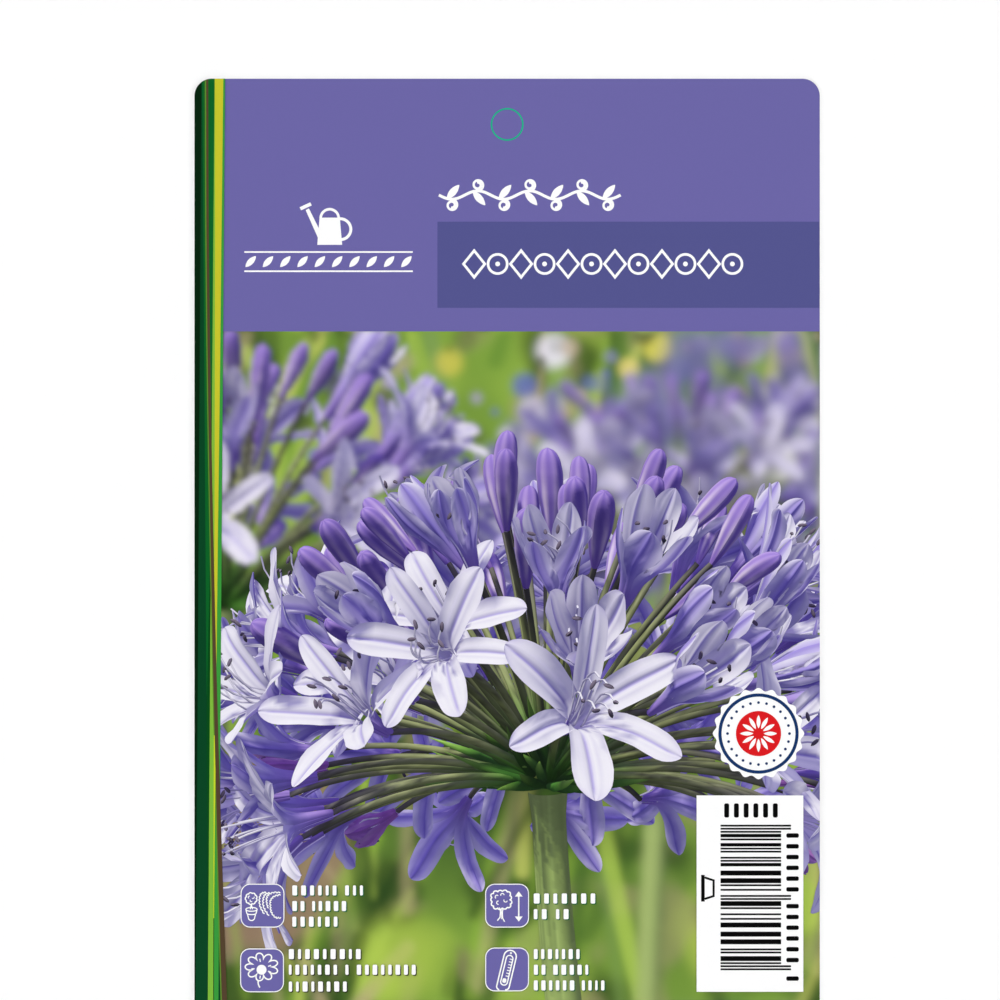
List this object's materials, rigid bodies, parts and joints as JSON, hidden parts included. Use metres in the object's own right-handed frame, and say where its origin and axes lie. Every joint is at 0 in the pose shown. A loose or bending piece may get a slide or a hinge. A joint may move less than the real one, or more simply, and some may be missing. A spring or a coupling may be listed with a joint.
{
  "type": "printed plant label",
  "caption": "Flat printed card label for a garden plant pot, with rounded corners, a coloured heading, a flower picture, care symbols and a knock-out hanging hole.",
  "frame": {"origin": "middle of the label's flat back face, which it lies on", "axes": "+Z out of the printed face, +Y towards the head of the label with the hanging hole, +X to the reader's right"},
  "size_m": [0.108, 0.162, 0.0005],
  "materials": {
    "card_stock": "white plastic card, satin varnish over the print",
    "heading_ink": "flat lilac heading ink under satin varnish",
    "picture_ink": "four-colour flower picture under satin varnish",
    "stripe_ink": "green, lime and brown edge stripes under satin varnish",
    "white_ink": "white symbols and panel under satin varnish",
    "black_ink": "black bars under satin varnish"
  },
  "bodies": {
    "root": {"label_card": "card_stock"}
  },
  "joints": []
}
